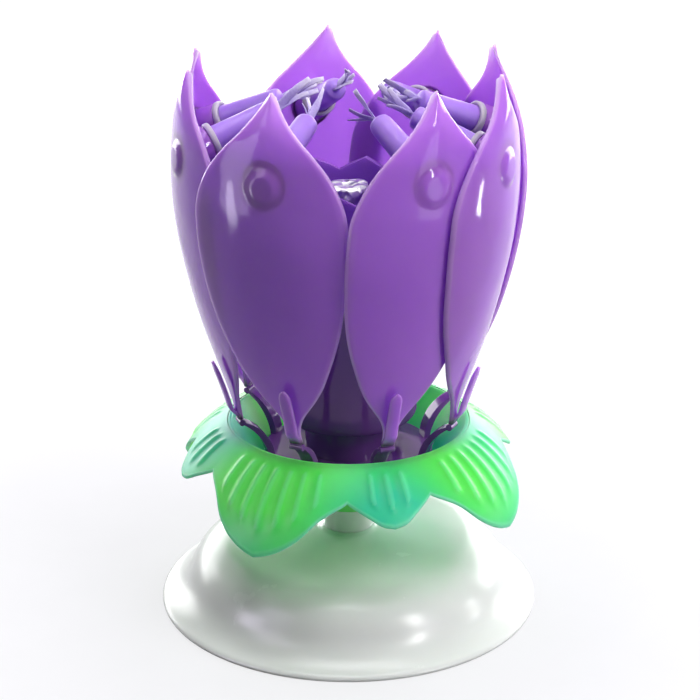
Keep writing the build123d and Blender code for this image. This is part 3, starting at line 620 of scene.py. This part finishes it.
# How far the blade swells out, and how wide it is, at each share of its height
swell_line = [(0.0, 0.0), (0.055, 0.055), (0.1, 0.13), (0.16, 0.27), (0.257, 0.49), (0.38, 0.715),
              (0.528, 0.915), (0.66, 1.0), (0.819, 0.955), (0.907, 0.89), (1.0, 0.735)]
width_line = [(0.0, 0.093), (0.05, 0.095), (0.085, 0.165), (0.11, 0.25), (0.133, 0.335), (0.19, 0.507),
              (0.241, 0.62), (0.3, 0.735), (0.365, 0.835), (0.489, 0.95), (0.613, 1.0), (0.69, 0.985),
              (0.752, 0.885), (0.799, 0.757), (0.845, 0.58), (0.892, 0.365), (0.938, 0.19), (0.995, 0.032)]
seat_radius = 30.315
seat_share = 0.76
boss_radius = 2.8
boss_height = 0.55
holder_radius = 3.15
bore_radius = 2.46
candle_slope = 22.0
keel_height = 0.75
spike_height = 11.4
spike_half_width = 1.2
spike_half_thickness = 0.42
spike_reach = 3.5


def aside_at(index, share):
    """How far a petal stands aside at a share of its height, from its lean and bow."""
    return petal_leans[index] * share**2 + 4 * petal_bows[index] * share * (1 - share)


def petal_frame(index):
    """Matrix from a petal's own frame, +X outwards, to the bud."""
    azimuth = math.radians(first_petal_azimuth + 45 * index - 90)
    about = Matrix.Translation((hinge_radius, 0, 0))
    return Matrix.Rotation(azimuth, 4, "Z") @ about @ Matrix.Rotation(math.radians(blade_twist), 4, "Z") \
        @ about.inverted()


def seat_frame(index):
    """Matrix from a candle's own frame, origin at its seat and +Z inwards, to the bud."""
    aside = math.asin(aside_at(index, seat_share) / seat_radius)
    seat = Matrix.Translation((seat_radius, 0, blade_z + blade_height * seat_share))
    tilt = Matrix.Rotation(math.radians(candle_slope - 90), 4, "Y")
    return petal_frame(index) @ Matrix.Rotation(aside, 4, "Z") @ seat @ tilt


def blade(index):
    """Pointed sheet with rounded rims, a soft keel at its tip and a low round boss behind the holder. Its
    rims are marked for a painted pale highlight.
    """
    shares = np.concatenate([np.linspace(0.006, 0.12, 14), np.linspace(0.14, 0.69, 32),
                             np.linspace(0.7, 0.82, 26), np.linspace(0.83, 0.999, 32)])
    columns = np.concatenate([np.linspace(-1, -0.33, 10), np.linspace(-0.3, 0.3, 25),
                              np.linspace(0.33, 1, 10)])
    around = np.radians(np.linspace(90, -90, 7))[1:-1]
    rings, painted_rim_light_and_pale_ends = [], []
    for share in shares:
        height = blade_height * share
        outer = blade_foot_radius + blade_swell * float(smooth_between(share, swell_line))
        half = blade_half_width * float(smooth_between(share, width_line))
        half *= 1 - 0.6 * float(ramp(share, 0.985, 1.0))
        thick = blade_thickness * (1 - 0.25 * float(ramp(share, 0.8, 1.0)))
        curl = min(thick / 2, half)
        flat = half - curl
        keel = keel_height * float(ramp(share, 0.78, 0.95))
        reach = np.hypot(flat * columns, height - blade_height * seat_share)
        lifts = boss_height * (1 - ramp(reach, boss_radius - 1.0, boss_radius + 0.8))
        line = [(flat * c, outer + lift) for c, lift in zip(columns, lifts)]
        middle = outer - thick / 2
        line += [(flat + curl * math.cos(a), middle + thick / 2 * math.sin(a)) for a in around]
        line += [(-flat * c, outer - thick) for c in columns]
        line += [(-flat - curl * math.cos(a), middle - thick / 2 * math.sin(a)) for a in around]
        ring, rim_highlight = [], []
        for aside, radius in line:
            ridge = keel * max(0.0, 1 - (aside / max(half, 0.6))**2)**1.5 - 0.3 * keel
            across = aside + aside_at(index, share)
            ring.append((math.sqrt(radius**2 - across**2) + ridge, across, blade_z + height))
            # Painted highlight: the last 0.6 mm towards each edge is marked pale.
            rim_highlight.append(0.6 * float(ramp(abs(aside), half - 0.6, half - 0.1)))
        rings.append(np.array(ring))
        painted_rim_light_and_pale_ends.append(rim_highlight)
    return skin(rings, cap_start=True, cap_end=True), np.concatenate(painted_rim_light_and_pale_ends)


def holder():
    """Tube that holds the candle. Its foot follows the blade's inner face."""
    lean_in = math.radians(candle_slope)
    rings = []
    for fillet, depth in ((0.8, 0.55), (0.3, 0.85), (0.05, 1.2)):
        ring = spun([(holder_radius + fillet, 0)], 48)[0]
        ring[:, 2] = (depth + math.sin(lean_in) * ring[:, 0]) / math.cos(lean_in)
        rings.append(ring)
    rings += spun([(holder_radius, 2.9), (holder_radius - 0.05, 5.9), (holder_radius - 0.2, 6.15),
                   (bore_radius + 0.14, 6.18), (bore_radius, 6.05), (bore_radius, 1.45),
                   (0.02, 1.42)], 48)
    return skin([ring[::-1] for ring in rings], cap_end=True)


def spike():
    """Free strip with a rounded point, from the blade's foot outwards. Its edges are marked for a painted
    pale highlight.
    """
    rings, painted_rim_light_and_pale_ends = [], []
    low = blade_z + 0.25
    for share in np.linspace(0, 1, 26):
        out = blade_foot_radius - 0.35 + 1.2 * float(ramp(share, 0.0, 0.22)) + spike_reach * share**1.25
        rounding = math.sqrt(max(0.004, 1 - max(0, (share - 0.84) / 0.162) ** 2))
        half = spike_half_width * (1 - 0.12 * share) * rounding
        thick = spike_half_thickness * (1 - 0.35 * float(ramp(share, 0.8, 1.0)))
        ring = []
        for turn in np.radians(np.arange(0, 360, 22.5)):
            flat = abs(math.cos(turn)) ** 0.45 * math.copysign(1, math.cos(turn))
            deep = abs(math.sin(turn)) ** 0.45 * math.copysign(1, math.sin(turn))
            ring.append((out + thick * deep, half * flat, low + spike_height * share))
            # Painted highlight: the strip's narrow edges are marked pale.
            painted_rim_light_and_pale_ends.append(0.4 * abs(flat) ** 6)
        rings.append(np.array(ring)[::-1])
    return skin(rings, cap_start=True, cap_end=True), np.array(painted_rim_light_and_pale_ends)


petal_plastic = violet_polystyrene("violet_polystyrene_petal", "A05CDA", "B06AE8", 0.95)
for index in range(8):
    sheet, sheet_rim_highlight = blade(index)
    strip, strip_rim_highlight = spike()
    azimuth = Matrix.Rotation(math.radians(first_petal_azimuth + 45 * index - 90), 4, "Z")
    tube = moved(holder(), seat_frame(index))
    node = f"petal_{index + 1}"
    piece(f"{node}_moulding", [moved(sheet, petal_frame(index)), tube, moved(strip, azimuth)],
          petal_plastic, node, [node],
          np.concatenate([sheet_rim_highlight, np.zeros(len(tube[0])), strip_rim_highlight]))


# Candles and collars
# Small tapered candles of violet paraffin wax, pushed into the holders, and
# a pale flexible collar round each one at the holder's mouth.
def paraffin(name, deep, bright):
    """Dipped wax: a soft waxy sheen, faint clouds 3 mm wide and a surface that is never quite even."""
    material, tree, out = new_material(name)
    place = add(tree, "TexCoord").outputs["Object"]
    cloud = add(tree, "TexNoise", {"Vector": place, "Scale": 1 / (3 * MM), "Detail": 3.0})
    colour = add(tree, "MixRGB", {0: cloud.outputs["Fac"], 1: linear(deep), 2: linear(bright)})
    bump = add(tree, "Bump", {"Height": cloud.outputs["Fac"], "Strength": 0.25, "Distance": 0.2 * MM})
    wax = add(tree, "BsdfPrincipled", {
        "Base Color": colour.outputs[0], "Roughness": 0.38, "Normal": bump.outputs[0], "IOR": 1.44,
        "Subsurface Weight": 0.7, "Subsurface Radius": (0.8, 0.6, 1.0), "Subsurface Scale": 1.5 * MM,
    })
    tree.links.new(wax.outputs[0], out.inputs["Surface"])
    return material


def stick():
    """Tapered candle with a rounded shoulder and a little cone of wax at the wick."""
    profile = [(0.02, 1.5), (2.38, 1.5), (2.38, 6.0), (2.3, 9.0), (2.2, 12.0), (2.08, 16.5), (2.02, 17.9),
               (1.9, 18.35), (1.6, 18.55), (1.0, 18.62), (0.6, 18.8), (0.45, 19.2), (0.02, 19.25)]
    return skin([ring[::-1] for ring in spun(profile, 36)], cap_start=True, cap_end=True)


def band():
    """Ring with rounded edges."""
    profile = [(2.48, 6.25), (3.05, 6.22), (3.2, 6.38), (3.22, 6.75), (3.18, 7.15), (3.02, 7.3), (2.48, 7.28),
               (2.48, 6.25)]
    return skin([ring[::-1] for ring in spun(profile, 40)])


violet_wax = paraffin("violet_paraffin_wax", "A67ADE", "B890EC")
pale_collar = paraffin("pale_collar_vinyl", "B7AFBA", "CBC5CC")
for index in range(8):
    body = f"petal_{index + 1}"
    place = seat_frame(index)
    piece(f"candle_{index + 1}_dipped", [moved(stick(), place)], violet_wax, body,
          [f"candle_{index + 1}"])
    piece(f"collar_{index + 1}_ring", [moved(band(), place)], pale_collar, body,
          [f"collar_{index + 1}"])


# Wicks
# Each candle's wick is a few flat cotton strands stiffened with wax. They
# are bent and frayed, and their ends are pale.
def waxed_cotton():
    """Cotton soaked in wax: lilac-grey, fibrous, paler at the ends.

    The fibres are about 0.02 mm thick and are drawn as 0.4 mm bundles, so that they show.
    """
    material, tree, out = new_material("waxed_cotton_wick")
    place = add(tree, "TexCoord").outputs["Object"]
    fibre = add(tree, "TexNoise", {"Vector": place, "Scale": 1 / (0.4 * MM), "Detail": 4.0})
    body = add(tree, "MixRGB", {0: fibre.outputs["Fac"], 1: linear("A78FD8"), 2: linear("C6B8EA")})
    rim = add(tree, "Attribute", attribute_name="rim")
    colour = add(tree, "MixRGB", {0: rim.outputs["Fac"], 1: body.outputs[0], 2: linear("E6DEF2")})
    bump = add(tree, "Bump", {"Height": fibre.outputs["Fac"], "Strength": 0.6, "Distance": 0.15 * MM})
    cotton = add(tree, "BsdfPrincipled", {"Base Color": colour.outputs[0], "Roughness": 0.55,
                                          "Normal": bump.outputs[0]})
    tree.links.new(cotton.outputs[0], out.inputs["Surface"])
    return material


def strand(path, width, thick):
    """Flat strand along a path of points, narrower and paler at its end."""
    rings, painted_rim_light_and_pale_ends = [], []
    path = [Vector(point) for point in path]
    for place, point in enumerate(path):
        ahead = path[min(place + 1, len(path) - 1)] - path[max(place - 1, 0)]
        side = ahead.cross(Vector((0.3, 0.2, 1))).normalized()
        up = ahead.cross(side).normalized()
        share = place / (len(path) - 1)
        narrow = 1 - 0.45 * share**2
        rings.append(np.array([point + side * (width / 2 * narrow * math.cos(turn))
                               + up * (thick / 2 * narrow * math.sin(turn))
                               for turn in np.radians(np.arange(0, 360, 45))]))
        painted_rim_light_and_pale_ends += [0.8 * float(ramp(share, 0.55, 1.0))] * 8
    return skin(rings, cap_start=True, cap_end=True), painted_rim_light_and_pale_ends


def bent_path(draw, yaw, pitch, length):
    """Path of a strand: out of the candle, then bent aside and wandering a little."""
    points = [(0, 0, 17.0 + 0.6 * step) for step in range(4)]
    place, direction = Vector(points[-1]), Vector((0, 0, 1))
    goal = Matrix.Rotation(math.radians(yaw), 3, "X") @ Matrix.Rotation(math.radians(pitch), 3, "Y") \
        @ Vector((0, 0, 1))
    for step in range(14):
        goal += Vector((draw.uniform(-1, 1), draw.uniform(-1, 1), draw.uniform(-0.3, 0.3))) * 0.13
        direction = direction.lerp(goal.normalized(), 0.32).normalized()
        place = place + direction * length / 14
        points.append(tuple(place))
    return points


wick_yaws = [14, 24, 9, 19, 27, 11, 22, 16]
wick_pitches = [8, -12, 16, 3, -8, 12, -4, 18]
strand_spread = (1, -1, 0.3, -0.4)
strand_length = 8.4
strand_width = 1.7
strand_thickness = 0.32
wick_cotton = waxed_cotton()
for index in range(8):
    draw = random.Random(40 + index)
    shells, painted_rim_light_and_pale_ends = [], []
    for turn, spread in enumerate(strand_spread):
        yaw = wick_yaws[index] + (turn - 1.2) * 12 + draw.uniform(-6, 6)
        pitch = wick_pitches[index] + spread * 15 + draw.uniform(-6, 6)
        length = strand_length - 1.1 * turn + draw.uniform(-0.8, 0.5)
        path = bent_path(draw, yaw, pitch, length)
        shell, tone = strand(path, strand_width - 0.15 * turn, strand_thickness)
        shells.append(moved(shell, seat_frame(index)))
        painted_rim_light_and_pale_ends += tone
    piece(f"wick_{index + 1}_frayed", shells, wick_cotton, f"petal_{index + 1}",
          [f"wick_{index + 1}"], painted_rim_light_and_pale_ends)
